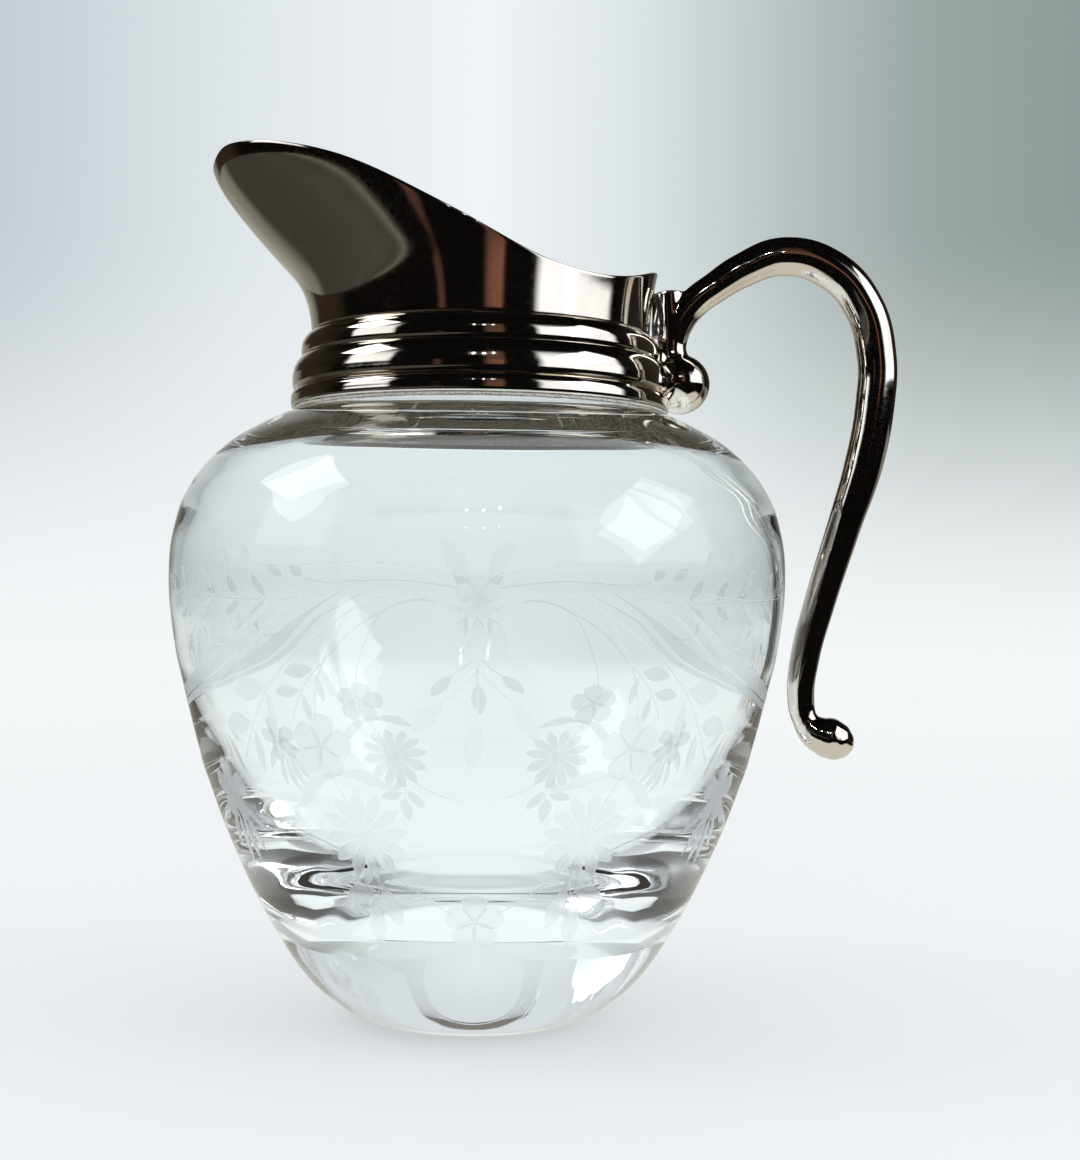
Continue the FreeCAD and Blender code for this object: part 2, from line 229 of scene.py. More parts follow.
def makeCrystal():
    material, nodes, links, shader = newMaterial("crystal")
    shader.inputs["Base Color"].default_value = crystalLook["tint"]
    shader.inputs["Roughness"].default_value = 0.0
    shader.inputs["IOR"].default_value = crystalLook["ior"]
    shader.inputs["Transmission Weight"].default_value = 1.0
    # the slow unevenness of blown glass
    noise = addNoise(nodes, links, crystalLook["waves"], 1.0)
    addBump(nodes, links, shader, noise.outputs["Fac"], crystalLook["wave"], crystalLook["depth"] * mm)
    return material


frostLook = {
    "tint": (0.985, 0.993, 1.0, 1), "ior": 1.14, "rough": (0.28, 0.38), "clear": 0.90,
    "grain": 2600, "bump": 0.04, "depth": 0.1,
}


def makeFrost():
    material, nodes, links, shader = newMaterial("frostedCut")
    shader.inputs["Base Color"].default_value = frostLook["tint"]
    shader.inputs["IOR"].default_value = frostLook["ior"]
    shader.inputs["Transmission Weight"].default_value = frostLook["clear"]
    noise = addNoise(nodes, links, frostLook["grain"])
    links.new(spread(nodes, links, noise.outputs["Fac"], *frostLook["rough"]), shader.inputs["Roughness"])
    addBump(nodes, links, shader, noise.outputs["Fac"], frostLook["bump"], frostLook["depth"] * mm)
    return material


silverLook = {
    "clean": (0.85, 0.80, 0.73, 1), "dull": (0.76, 0.69, 0.61, 1), "rough": (0.04, 0.09),
    "clouds": 55, "wear": 900, "wave": 0.03, "depth": 0.6,
}


def makeSilver():
    material, nodes, links, shader = newMaterial("silverPlate")
    shader.inputs["Metallic"].default_value = 1.0
    cloud = addNoise(nodes, links, silverLook["clouds"], 4.0)
    addTones(nodes, links, shader, cloud.outputs["Fac"], silverLook, (0.35, 0.62))
    wear = addNoise(nodes, links, silverLook["wear"], 5.0)
    links.new(spread(nodes, links, wear.outputs["Fac"], *silverLook["rough"]), shader.inputs["Roughness"])
    addBump(nodes, links, shader, cloud.outputs["Fac"], silverLook["wave"], silverLook["depth"] * mm)
    return material


plasterLook = {"clean": (0.80, 0.78, 0.73, 1), "dull": (0.52, 0.49, 0.44, 1), "grain": 1500, "rough": 0.75}
# painted shade: a darkened plaster tone laid on the glass ledge under the collar, standing in for the shade
# inside the neck
shadedLedgeLook = {"clean": (0.36, 0.30, 0.22, 1), "dull": (0.13, 0.107, 0.078, 1), "grain": 1500, "rough": 0.75}


def makePlaster(name, look):
    material, nodes, links, shader = newMaterial(name)
    grain = addNoise(nodes, links, look["grain"], 6.0)
    addTones(nodes, links, shader, grain.outputs["Fac"], look, (0.36, 0.56))
    shader.inputs["Roughness"].default_value = look["rough"]
    addBump(nodes, links, shader, grain.outputs["Fac"], 0.6, 0.2 * mm)
    return material


solderLook = {
    "clean": (0.78, 0.76, 0.73, 1), "dull": (0.42, 0.40, 0.38, 1), "grain": 1100, "rough": (0.10, 0.24),
}


def makeSolder():
    material, nodes, links, shader = newMaterial("solder")
    shader.inputs["Metallic"].default_value = 1.0
    grain = addNoise(nodes, links, solderLook["grain"], 5.0)
    addTones(nodes, links, shader, grain.outputs["Fac"], solderLook, (0, 0.7))
    links.new(spread(nodes, links, grain.outputs["Fac"], *solderLook["rough"]), shader.inputs["Roughness"])
    addBump(nodes, links, shader, grain.outputs["Fac"], 0.3, 0.2 * mm)
    return material


crystal, frost, silver, solder = makeCrystal(), makeFrost(), makeSilver(), makeSolder()
# the second plaster is painted shade, laid on the glass ledge
plaster, shadedLedge = makePlaster("plaster", plasterLook), makePlaster("shadedLedge", shadedLedgeLook)
print("materials ready")


# The crystal body: thick base, hollow belly, short neck

crystalBody = {
    # (radius, height, kind) in millimetres, up the outside, over the neck and down the inside
    "outside": [
        (0, 0, "corner"), (25.0, 0, "corner"), (30.6, 2.1, "smooth"), (35.2, 5.2, "smooth"),
        (40.6, 10, "smooth"), (49.0, 22, "smooth"), (58.3, 40, "smooth"), (66.1, 60, "smooth"),
        (71.7, 80, "smooth"), (75.1, 96, "smooth"), (76.15, 110, "smooth"), (75.1, 120, "smooth"),
        (71.6, 130, "smooth"), (63.3, 140, "smooth"), (54.0, 146, "smooth"), (46.5, 149.5, "corner"),
    ],
    "neck": [
        (40.2, 149.5, "corner"), (40.2, 165.4, "smooth"), (38.8, 166.0, "smooth"), (37.4, 165.4, "smooth"),
    ],
    "inside": [
        (37.4, 153.4, "smooth"), (38.6, 148.6, "smooth"), (42.6, 145.6, "smooth"), (51.0, 142.1, "smooth"),
        (59.4, 138.6, "smooth"), (65.8, 132.7, "smooth"), (71.2, 122.6, "smooth"), (73.5, 110, "smooth"),
        (71.9, 92.5, "smooth"), (68.3, 78.6, "smooth"), (63.5, 66, "smooth"), (58.5, 56, "smooth"),
        (52.3, 46.8, "smooth"), (46.0, 40.4, "smooth"), (38.4, 34.8, "smooth"), (31.8, 30.4, "smooth"),
        (29.4, 28.9, "smooth"), (28.2, 28.3, "smooth"), (26.6, 28.05, "smooth"), (13.0, 27.5, "smooth"),
        (0, 27.2, "corner"),
    ],
    # where the painted shade lies on the ledge: out from the axis, up from the ledge
    "shadeReach": (40.0, 43.4), "shadeRise": (-0.1, 0.1),
}
glassOutline = crystalBody["outside"] + crystalBody["neck"] + crystalBody["inside"]
crystalGlass = turnOutline("crystalGlass", glassOutline, fineness=6, steps=192)
shadeSmooth(crystalGlass, 35)
setPiece(crystalGlass, "crystal_body", crystal, shadedLedge)
ledgeHeight = crystalBody["neck"][0][1]
# ledge faces within the shade's reach take the painted shade, the rest stay crystal
for polygon in crystalGlass.data.polygons:
    out, up = polygon.center.xy.length / mm, polygon.center.z / mm - ledgeHeight
    inReach = crystalBody["shadeReach"][0] < out < crystalBody["shadeReach"][1]
    onLedge = crystalBody["shadeRise"][0] < up < crystalBody["shadeRise"][1]
    polygon.material_index = 1 if inReach and onLedge else 0
print("crystal body turned:", len(crystalGlass.data.polygons), "faces")


# Frosted cutting: leaves, petals and stems laid out on a flat sheet, then wrapped round the belly

cutting = {
    # millimetres: radius of the flat sheet, gap to the glass, height of the relief, start of the wrapping
    "sheet": 70.0, "lift": 0.03, "leafRise": 0.22, "stemRise": 0.10, "wrapFrom": 200,
    # half widths of each blank along its length
    "leaf": [(0, 0), (0.067, 0.12), (0.25, 0.62), (0.5, 1.0), (0.75, 0.80), (0.933, 0.30), (1, 0)],
    "petal": [(0, 0), (0.067, 0.16), (0.25, 0.40), (0.5, 0.80), (0.75, 1.0), (0.933, 0.46), (1, 0)],
    "lobe": [(0, 0), (0.067, 0.25), (0.25, 0.58), (0.5, 0.90), (0.75, 1.0), (0.933, 0.68), (1, 0)],
}
# every place is (degrees from the middle of a panel, height in mm); a stroke ends with its half widths
halfPanelStrokes = [
    ([(3.2, 108.0), (10, 109.6), (18, 110.7), (27, 110.3), (36, 109.5), (41, 110.6)],
     (0.25, 0.22, 0.20, 0.18, 0.16, 0.12)),
    ([(2.6, 100.2), (7, 102.8), (12.5, 104.3), (17, 103.2), (21, 100.4), (30, 93), (40, 82.6), (47, 71.5),
      (50.5, 65.5)],
     (0.25, 0.42, 0.45, 0.36, 0.28, 0.22, 0.20, 0.20, 0.16)),
    ([(21.8, 99.6), (25.5, 92), (28.6, 84), (29.8, 76)], (0.15, 0.24, 0.20, 0.18)),
    ([(30.9, 107.2), (38.4, 100.7), (45.2, 94.2), (51.3, 90.0), (58.9, 86.2), (66, 83.6), (75, 81.0),
      (85, 79.6)],
     (0.12, 0.60, 1.70, 1.95, 2.05, 2.05, 1.70, 0.60)),
    ([(25.9, 106.6), (30.9, 102.5), (36.4, 98.4), (43.3, 91.6), (50.5, 86.8), (58.8, 83.0), (66, 80.6),
      (75, 78.4), (85, 77.4)],
     (0.12, 0.25, 0.45, 0.85, 0.95, 1.00, 1.00, 0.85, 0.40)),
    ([(36, 105.7), (43, 104.4), (52, 103.7), (61.8, 103.6), (70, 104.4)], (0.10, 0.16, 0.18, 0.16, 0.10)),
    ([(47.6, 93.2), (51.7, 92.4), (54.8, 93.6), (56.0, 96.6)], (0.20, 0.30, 0.30, 0.20)),
    ([(61.4, 98.6), (60.2, 92.6), (59.3, 88.2)], (0.14, 0.18, 0.14)),
    ([(28.4, 65.2), (26.4, 60.6), (24.6, 56.6)], (0.14, 0.18, 0.16)),
    ([(28.2, 64.2), (31.4, 62.6), (34.2, 59.4), (35.6, 57.6), (37.4, 57.0)],
     (0.25, 1.70, 1.90, 0.90, 0.10)),
    ([(27.4, 64.4), (23.2, 64.8), (19.8, 63.8), (16.8, 62.2), (13.6, 61.6)],
     (0.20, 1.30, 1.70, 0.60, 0.10)),
    ([(20.4, 46.0), (21.2, 40), (22.6, 34)], (0.16, 0.22, 0.18)),
    ([(19.4, 46.2), (17.3, 42.4), (11.4, 37.4), (5.0, 33.2)], (0.16, 0.24, 0.22, 0.16)),
]
halfPanelLeaves = [
    # base, tip, width in mm
    ((1.5, 107.0), (5.6, 115.4), 4.4), ((2.2, 98.5), (5.7, 90.0), 4.6),
    ((41.4, 110.9), (45.0, 114.7), 3.6), ((46.8, 110.9), (51.6, 114.5), 3.6),
    ((51.6, 104.2), (56.4, 111.0), 2.9), ((52.0, 103.2), (57.2, 97.5), 2.9),
    ((60.6, 104.2), (65.2, 110.4), 2.9), ((60.6, 103.0), (66.0, 98.4), 2.9),
    ((69.4, 104.6), (74.6, 108.4), 2.9), ((54.9, 94.0), (56.5, 98.6), 2.4),
    ((60.6, 95.6), (64.8, 90.6), 2.4),
    ((40.2, 83.6), (49.0, 82.0), 5.8), ((45.4, 75.1), (53.4, 74.6), 5.0),
    ((39.9, 82.0), (39.2, 70.6), 2.7), ((45.0, 74.0), (44.5, 63.5), 2.7),
    ((20.8, 40.2), (17.4, 29.6), 4.2), ((22.3, 38.6), (30.4, 35.9), 4.6), ((22.8, 36.2), (24.3, 25.2), 4.4),
    ((22.4, 44.4), (24.4, 39.4), 2.2),
    ((57.4, 54.6), (52.2, 44.6), 2.6), ((58.2, 54.2), (56.2, 41.6), 2.7), ((59.4, 54.2), (60.6, 40.8), 2.7),
    ((60.8, 54.4), (65.2, 44.4), 2.6), ((56.8, 56.4), (49.4, 50.6), 2.6), ((61.6, 56.4), (68.6, 50.6), 2.6),
]
halfPanelFlowers = [
    # middle, petals, length and width in mm, blank, degrees of the first petal
    ((29.3, 70.6), 5, 7.4, 6.4, "lobe", 100), ((22.6, 51.0), 12, 10.2, 3.1, "petal", 84),
    ((59.2, 58.6), 5, 7.8, 5.6, "lobe", 90), ((59.2, 58.8), 5, 4.2, 2.6, "lobe", 54),
]
middleLeaves = [
    ((0, 99.0), (0, 88.2), 4.4), ((-5.4, 81.6), (-11.4, 74.2), 4.2), ((0, 78.4), (-0.8, 65.8), 4.6),
    ((5.8, 81.4), (11.2, 72.6), 4.2), ((90, 84.5), (90, 95.0), 4.4), ((86.8, 83.6), (82.6, 91.6), 4.2),
    ((93.2, 83.6), (97.4, 91.6), 4.2), ((85.0, 66.8), (80.0, 59.0), 4.2), ((90, 64.6), (90, 52.4), 4.6),
    ((95.0, 66.8), (100.0, 59.0), 4.2),
]
middleStrokes = [
    ([(0, 88.0), (-2.4, 84.8), (-5.6, 81.4)], (0.16, 0.20, 0.18)),
    ([(0, 88.2), (0.2, 83), (0, 78)], (0.16, 0.20, 0.18)),
    ([(0, 88.0), (2.6, 84.8), (6.0, 81.2)], (0.16, 0.20, 0.18)),
    ([(90, 73.4), (88, 70), (84.8, 66.6)], (0.16, 0.20, 0.18)),
    ([(90, 73.4), (90.2, 69), (90, 64.2)], (0.16, 0.20, 0.18)),
    ([(90, 73.4), (92, 70), (95.2, 66.6)], (0.16, 0.20, 0.18)),
]
middleFlowers = [
    ((0, 103.4), 5, 4.8, 4.2, "lobe", 90), ((90, 79.2), 5, 7.0, 6.0, "lobe", 90),
]
frontFlower = ((0, 31.4), 5, 6.6, 5.8, "lobe", 90)  # the lowest one, on the front alone
sheetRadius = cutting["sheet"] * mm
glassSide = [(height, radius) for radius, height, kind in crystalBody["outside"][1:]]


def makeBlank(kind):
    bpy.ops.object.select_all(action="DESELECT")
    bpy.ops.mesh.primitive_uv_sphere_add(segments=8, ring_count=6, radius=1)
    blank = bpy.context.object
    for vertex in blank.data.vertices:
        along = (vertex.co.z + 1) / 2
        around = math.atan2(vertex.co.y, vertex.co.x)
        half = smoothBetween(cutting[kind], along)
        vertex.co = (along, max(math.sin(around), 0) * half, math.cos(around) * half)
    return blank


blanks = {kind: makeBlank(kind) for kind in ("leaf", "petal", "lobe")}


def stamp(kind, base, tip, width):
    copy = blanks[kind].copy()
    copy.data = blanks[kind].data.copy()
    bpy.context.collection.objects.link(copy)
    radius = smoothBetween(glassSide, (base[1] + tip[1]) / 2)
    run, rise = math.radians(tip[0] - base[0]) * radius, tip[1] - base[1]
    length = math.hypot(run, rise)
    for vertex in copy.data.vertices:
        along, up, across = vertex.co
        across *= width / 2 / length
        vertex.co.x = sheetRadius * (math.radians(base[0]) + (along * run - across * rise) / radius)
        vertex.co.y = up * cutting["leafRise"] * mm
        vertex.co.z = (base[1] + along * rise + across * run) * mm
    return copy


def stampFlower(middle, count, length, width, kind, first):
    radius = smoothBetween(glassSide, middle[1])
    petals = []
    for number in range(count):
        turn = math.radians(first + 360 * number / count)
        aside = math.degrees(length * math.cos(turn) / radius)
        tip = (middle[0] + aside, middle[1] + length * math.sin(turn))
        petals.append(stamp(kind, middle, tip, width))
    return petals


def drawRod(name, points, fineness, sides):
    # points are (across, height, half thickness) in millimetres
    rod = drawCurve(name, [(across, height, "smooth") for across, height, half in points], fineness=fineness)
    rod.data.bevel_depth = mm
    rod.data.bevel_resolution = sides
    rod.data.use_fill_caps = True
    for spot, (across, height, half) in zip(rod.data.splines[0].bezier_points, points):
        spot.radius = half
    pick(rod)
    bpy.ops.object.convert(target="MESH")
    return bpy.context.object


def drawStroke(places, halves):
    points = [(math.radians(turn) * cutting["sheet"], height, half)
              for (turn, height), half in zip(places, halves)]
    stroke = drawRod("stroke", points, 5, 1)
    for vertex in stroke.data.vertices:
        vertex.co.y *= cutting["stemRise"] / max(halves)
    return stroke


def layOut(name, strokes, leaves, flowers):
    pieces = [drawStroke(places, halves) for places, halves in strokes]
    pieces += [stamp("leaf", base, tip, width) for base, tip, width in leaves]
    for flower in flowers:
        pieces += stampFlower(*flower)
    return joinPieces(name, pieces)


halfPanel = layOut("halfPanel", halfPanelStrokes, halfPanelLeaves, halfPanelFlowers)
finishWith(halfPanel, "MIRROR", use_axis=(True, False, False), use_mirror_merge=False)
middle = layOut("middle", middleStrokes, middleLeaves, middleFlowers)
floralCut = joinPieces("floralCut", [halfPanel, middle])
finishWith(floralCut, "ARRAY", count=2, use_relative_offset=False, use_constant_offset=True,
           constant_offset_displace=(math.pi * sheetRadius, 0, 0))
floralCut = joinPieces("floralCut", [floralCut] + stampFlower(*frontFlower))
bpy.context.view_layer.update()
for vertex in floralCut.data.vertices:
    turn = vertex.co.x / sheetRadius
    out = Vector((math.sin(turn), -math.cos(turn), 0))
    start = out * cutting["wrapFrom"] * mm + Vector((0, 0, vertex.co.z))
    found, spot, normal, face = crystalGlass.ray_cast(start, -out)
    vertex.co = spot + normal * (cutting["lift"] * mm + max(vertex.co.y, 0))
faceOutwards(floralCut)
shadeSmooth(floralCut, 4)
setPiece(floralCut, None, frost)
for blank in blanks.values():
    bpy.data.objects.remove(blank)
print("cutting wrapped:", len(floralCut.data.polygons), "faces")


# Plaster that beds the collar on the neck, ragged along its lower edge

neckPlaster = {
    # radii in millimetres: the neck with a gap, and the thin layer behind the sleeve
    "neck": 40.35, "behindSleeve": 41.0, "ragged": 0.16, "edge": 1.5, "seed": 7,
}
ledgeLow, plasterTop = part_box("neck_cement")
ledge, bed = ledgeLow.z / mm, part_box("collar_sleeve")[0].z / mm
outer = plasterTop.x / mm
plasterRing = turnOutline("plasterRing", [
    (neckPlaster["neck"], ledge, "corner"), (outer - 0.4, ledge, "corner"),
    (outer - 0.1, ledge + 0.4, "smooth"), (outer - 0.5, bed, "corner"),
    (neckPlaster["behindSleeve"], bed, "corner"),
    (neckPlaster["behindSleeve"], plasterTop.z / mm, "corner"),
    (neckPlaster["neck"], plasterTop.z / mm, "corner"),
], closed=True, fineness=4, steps=220)
pick(plasterRing)
for vertex in plasterRing.data.vertices:
    nearEdge = vertex.co.xy.length > (outer - neckPlaster["edge"]) * mm
    vertex.select = nearEdge and vertex.co.z < (bed - 0.1) * mm
for polygon in plasterRing.data.polygons:
    polygon.select = False
bpy.ops.object.mode_set(mode="EDIT")
bpy.ops.mesh.select_mode(type="VERT")
bpy.ops.transform.vertex_random(offset=neckPlaster["ragged"] * mm, seed=neckPlaster["seed"])
bpy.ops.object.mode_set(mode="OBJECT")
shadeSmooth(plasterRing, 60)
setPiece(plasterRing, "neck_cement", plaster)
print("plaster bedded")


# Collar: the plain sleeve and three rounded rings

sleeveLow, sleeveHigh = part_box("collar_sleeve")
sleeveRadius, sleeveWall = sleeveHigh.x / mm, 1.15
collarSleeve = turnOutline("collarSleeve", [
    (sleeveRadius - sleeveWall, sleeveLow.z / mm, "corner"), (sleeveRadius, sleeveLow.z / mm, "corner"),
    (sleeveRadius, sleeveHigh.z / mm, "corner"), (sleeveRadius - sleeveWall, sleeveHigh.z / mm, "corner"),
], closed=True, steps=160)
shadeSmooth(collarSleeve, 40)
setPiece(collarSleeve, "collar_sleeve", silver)

# each ring's face from its foot up: (beyond the sleeve in mm, share of the ring's height, kind)
collarRings = {
    "collar_ring_lower": [
        (4.7, 0, "corner"), (4.93, 0.09, "smooth"), (5.0, 0.30, "smooth"), (4.75, 0.66, "smooth"),
        (3.5, 0.97, "smooth"), (3.3, 1, "corner"),
    ],
    "collar_ring_middle": [
        (4.42, 0, "corner"), (4.58, 0.06, "smooth"), (4.65, 0.24, "smooth"), (4.55, 0.44, "smooth"),
        (4.0, 0.69, "smooth"), (2.5, 0.97, "smooth"), (2.2, 1, "corner"),
    ],
    "collar_ring_upper": [
        (2.32, 0, "corner"), (2.45, 0.07, "smooth"), (2.5, 0.28, "smooth"), (2.2, 0.58, "smooth"),
        (1.2, 0.85, "smooth"), (0.1, 1, "corner"),
    ],
}
ringGap = 0.02  # between a ring and the sleeve
for node, face in collarRings.items():
    low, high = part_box(node)
    foot, rise = low.z / mm, (high.z - low.z) / mm
    outline = [(sleeveRadius + out, foot + rise * share, kind) for out, share, kind in face]
    outline += [(sleeveRadius + ringGap, foot + rise, "corner"), (sleeveRadius + ringGap, foot, "corner")]
    ring = turnOutline(node.replace("collar_", ""), outline, closed=True, fineness=8, steps=192)
    shadeSmooth(ring, 50)
    setPiece(ring, node, silver)
print("collar turned")


# Spout shell: egg-shaped sections that grow forward, ending along the rim

spoutShell = {
    "around": 96, "up": 16, "wall": 1.0, "edge": 0.28,
    # share of the shell's height, how far the front has come forward
    "front": [
        (0, 0), (0.14, 0.035), (0.28, 0.13), (0.44, 0.375), (0.62, 0.645), (0.80, 0.88), (0.93, 0.985),
        (1.1, 1.02),
    ],
    "sideFlare": 0.7, "backFlare": 2.0, "backHeight": 0.374,
    # rim from the side: millimetres in front of the axis (negative) or behind it, share of the height
    "rim": [
        (-70, 0.86), (-67.0, 0.925), (-64.4, 0.978), (-61.5, 0.996), (-49.0, 0.956), (-30.7, 0.828),
        (-7.5, 0.562), (13.2, 0.318), (25.7, 0.254), (36.0, 0.278), (44.2, 0.374), (48.0, 0.46),
    ],
}
shellLow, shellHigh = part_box("spout_shell")
shellFoot, shellRise = shellLow.z / mm, (shellHigh.z - shellLow.z) / mm
shellRadius, shellReach = sleeveRadius, -shellLow.x / mm


def shellSpot(turn, height):
    # place on the shell: turn 0 at the spout, half a turn at the handle
    share = (height - shellFoot) / shellRise
    ahead = shellRadius + (shellReach - shellRadius) * smoothBetween(spoutShell["front"], share)
    side = shellRadius + spoutShell["sideFlare"] * share
    behind = shellRadius + spoutShell["backFlare"] * min(share / spoutShell["backHeight"], 1) ** 2
    reach = ahead if math.cos(turn) > 0 else behind
    return Vector((-reach * math.cos(turn), side * math.sin(turn), height))


def rimHeight(turn):
    # halves the range until it meets the rim
    low, high = shellFoot, shellFoot + 1.1 * shellRise
    for step in range(40):
        middle = (low + high) / 2
        rim = shellFoot + shellRise * smoothBetween(spoutShell["rim"], shellSpot(turn, middle).x)
        low, high = (middle, high) if middle < rim else (low, middle)
    return low


bpy.ops.object.select_all(action="DESELECT")
bpy.ops.mesh.primitive_circle_add(vertices=spoutShell["around"], radius=shellRadius * mm, fill_type="NOTHING")
shell = bpy.context.object
shell.name = "spoutShell"
bpy.ops.object.mode_set(mode="EDIT")
bpy.ops.mesh.select_all(action="SELECT")
for level in range(spoutShell["up"]):
    bpy.ops.mesh.extrude_region_move(TRANSFORM_OT_translate={"value": (0, 0, mm)})
bpy.ops.object.mode_set(mode="OBJECT")
for vertex in shell.data.vertices:
    turn = math.atan2(vertex.co.y, -vertex.co.x)
    share = round(vertex.co.z / mm) / spoutShell["up"]
    height = shellFoot + (rimHeight(turn) - shellFoot) * share
    vertex.co = shellSpot(turn, height) * mm
faceOutwards(shell)
finishWith(shell, "SOLIDIFY", thickness=spoutShell["wall"] * mm, offset=-1, use_even_offset=True)
finishWith(shell, "BEVEL", width=spoutShell["edge"] * mm, segments=2,
           limit_method="ANGLE", angle_limit=math.radians(60))
finishWith(shell, "SUBSURF", levels=1, render_levels=1)
shadeSmooth(shell, 60)
setPiece(shell, "spout_shell", silver)
print("spout shell raised:", len(shell.data.polygons), "faces")


# Handle: one casting whose arm, spine, ball and end run into each other

scrollHandle = {
    # (x, z, half thickness) in millimetres, from the spine out and down to the egg-shaped end
    "arm": [
        (47.9, 164.0, 3.4), (48.1, 168.6, 3.6), (49.7, 173.7, 3.85), (53.2, 178.5, 3.95),
        (58.6, 182.7, 4.05), (65.2, 187.0, 4.45), (75.8, 190.8, 5.0), (88.0, 187.6, 5.15),
        (96.2, 178.6, 5.2), (99.7, 166.0, 5.1), (99.4, 154.0, 5.05), (96.6, 138.4, 4.95),
        (92.0, 123.6, 4.35), (85.8, 103.6, 4.0), (82.2, 89.6, 3.75), (81.3, 79.6, 3.45),
        (82.5, 74.0, 3.2), (85.0, 71.2, 4.35), (88.2, 69.8, 5.25), (91.4, 68.4, 4.7), (93.6, 67.5, 2.9),
        (94.6, 67.1, 0.5),
    ],
    "spine": [
        (48.8, 160.0, 5.6), (48.2, 163.4, 4.3), (47.9, 167.0, 3.65), (47.6, 173.0, 3.5), (47.2, 181.4, 3.4),
    ],
    "ball": (50.0, 158.1, 7.55),
    "grain": 0.42, "polish": 14,
}
arm = drawRod("arm", scrollHandle["arm"], 12, 6)
spine = drawRod("spine", scrollHandle["spine"], 8, 6)
ballX, ballZ, ballRadius = scrollHandle["ball"]
bpy.ops.object.select_all(action="DESELECT")
bpy.ops.mesh.primitive_uv_sphere_add(
    segments=48, ring_count=24, radius=ballRadius * mm, location=(ballX * mm, 0, ballZ * mm))
ball = bpy.context.object
bpy.ops.object.transform_apply(location=True)
handle = castTogether("scrollHandle", [arm, spine, ball], scrollHandle["grain"], scrollHandle["polish"])
setPiece(handle, "handle", silver)
print("handle cast:", len(handle.data.polygons), "faces")


# Solder between the spine and the shell, in uneven runs

solderRuns = {
    # (x, z, half thickness) in millimetres
    "near": [(43.9, 169.8, 0.75), (43.8, 173.0, 0.95), (44.2, 177.0, 0.75), (43.9, 180.6, 0.95)],
    "far": [(45.2, 169.8, 0.75), (45.3, 173.6, 0.9), (45.0, 177.6, 1.05), (45.3, 180.4, 0.8)],
    "core": [(44.4, 169.8, 1.6), (44.3, 175.0, 1.5), (44.5, 180.4, 1.7)],
    "aside": 2.15, "grain": 0.25, "polish": 3,
}
runs = [drawRod("core", solderRuns["core"], 6, 3)]
for side in (-1, 1):
    for name in ("near", "far"):
        run = drawRod(name, solderRuns[name], 6, 3)
        run.location.y = side * solderRuns["aside"] * mm
        bpy.ops.object.transform_apply(location=True)
        runs.append(run)
solderBead = castTogether("solderBead", runs, solderRuns["grain"], solderRuns["polish"])
setPiece(solderBead, "handle_solder", solder)
print("solder run in")


# Floor, light and camera

studio = {
    "floor": (0.90, 0.91, 0.915, 1), "far": (0.90, 0.93, 0.94, 1), "fill": (0.80, 0.82, 0.84, 1),
    "ceiling": (0.68, 0.73, 0.77, 1), "dark": (0.0015, 0.0013, 0.0012, 1),
    # the floor's width, how far it lies under the foot, where it goes over into the backdrop
    "width": 12, "under": 0.3, "fade": (-1.2, 1.4), "rough": 0.9, "gloss": 0.1,
    # the pale sheet under the jug ends in front, on the left and on the right, and runs up behind
    "sheetFront": (-0.185, -0.142), "sheetBack": (0.10, 0.60),
    "sheetLeft": (-0.42, -0.28), "sheetRight": (0.30, 0.42),
    # its tone as metal shows it, its tone and reach as glass shows it
    "inMetal": (0.66, 0.64, 0.57, 1), "inGlass": (0.93, 0.99, 1.0, 1), "nearGlass": (0.10, 4.00),
    # heights between which one band of the room goes over into the next
    "toPanes": (0.062, 0.085), "toStreaks": (0.105, 0.122), "toHigh": (0.150, 0.162),
    "toDark": (0.36, 0.70), "toCeiling": (0.30, 0.65), "toBackdrop": (-0.03, 0.20),
}
# the table on the left as metal shows it: (metres behind the jug, colour)
table = [
    (-3.8, (0.035, 0.032, 0.027)), (-3.0, (0.12, 0.112, 0.09)), (-2.4, (0.15, 0.14, 0.11)),
    (-1.9, (0.10, 0.094, 0.077)), (-1.3, (0.054, 0.051, 0.045)), (-0.5, (0.064, 0.060, 0.054)),
    (0.2, (0.050, 0.047, 0.041)),
]
# the room round the jug: (degrees from the camera's side towards the handle, colour)
black, window, lowWindow = (0.0015, 0.001, 0.001), (1.2, 1.25, 1.3), (1.25, 1.30, 1.38)
tableBack = [
    (-180, (0.40, 0.40, 0.35)), (-160, (0.40, 0.40, 0.34)), (-140, (0.24, 0.235, 0.20)),
    (-128, (0.19, 0.185, 0.155)), (-120, (0.05, 0.047, 0.041)), (90, (0.05, 0.047, 0.041)),
    (120, (0.22, 0.22, 0.19)), (180, (0.40, 0.40, 0.35)),
]
roomLow = [
    (-180, (0.85, 0.86, 0.86)), (-170, (0.62, 0.62, 0.58)), (-160, (0.34, 0.34, 0.29)),
    (-146, (0.20, 0.195, 0.165)), (-138, (0.033, 0.022, 0.014)), (-112, (0.028, 0.018, 0.011)),
    (-98, (0.002, 0.0015, 0.001)), (100, black), (150, (0.035, 0.028, 0.022)),
    (165, (0.30, 0.31, 0.29)), (180, (0.85, 0.86, 0.86)),
]
panes = [
    (-28.5, black), (-27, (0.09, 0.045, 0.032)), (-24.5, (0.08, 0.04, 0.027)), (-23, black),
    (34, black), (39, lowWindow), (92, lowWindow), (96, black),
]
streaks = [(1, black), (4.5, (0.17, 0.075, 0.045)), (12.5, (0.24, 0.10, 0.062)), (14.5, black)]
roomHigh = [
    (-180, (0.85, 0.86, 0.86)), (-165, (0.50, 0.50, 0.47)), (-150, (0.04, 0.03, 0.02)), (-90, black),
    (-87, window), (-58, window), (-55, black), (1, black), (4, (0.09, 0.045, 0.032)),
    (13, (0.11, 0.055, 0.037)), (15, black), (34, black), (38, window), (92, window), (96, black),
    (150, (0.035, 0.028, 0.022)), (165, (0.30, 0.31, 0.29)), (180, (0.85, 0.86, 0.86)),
]
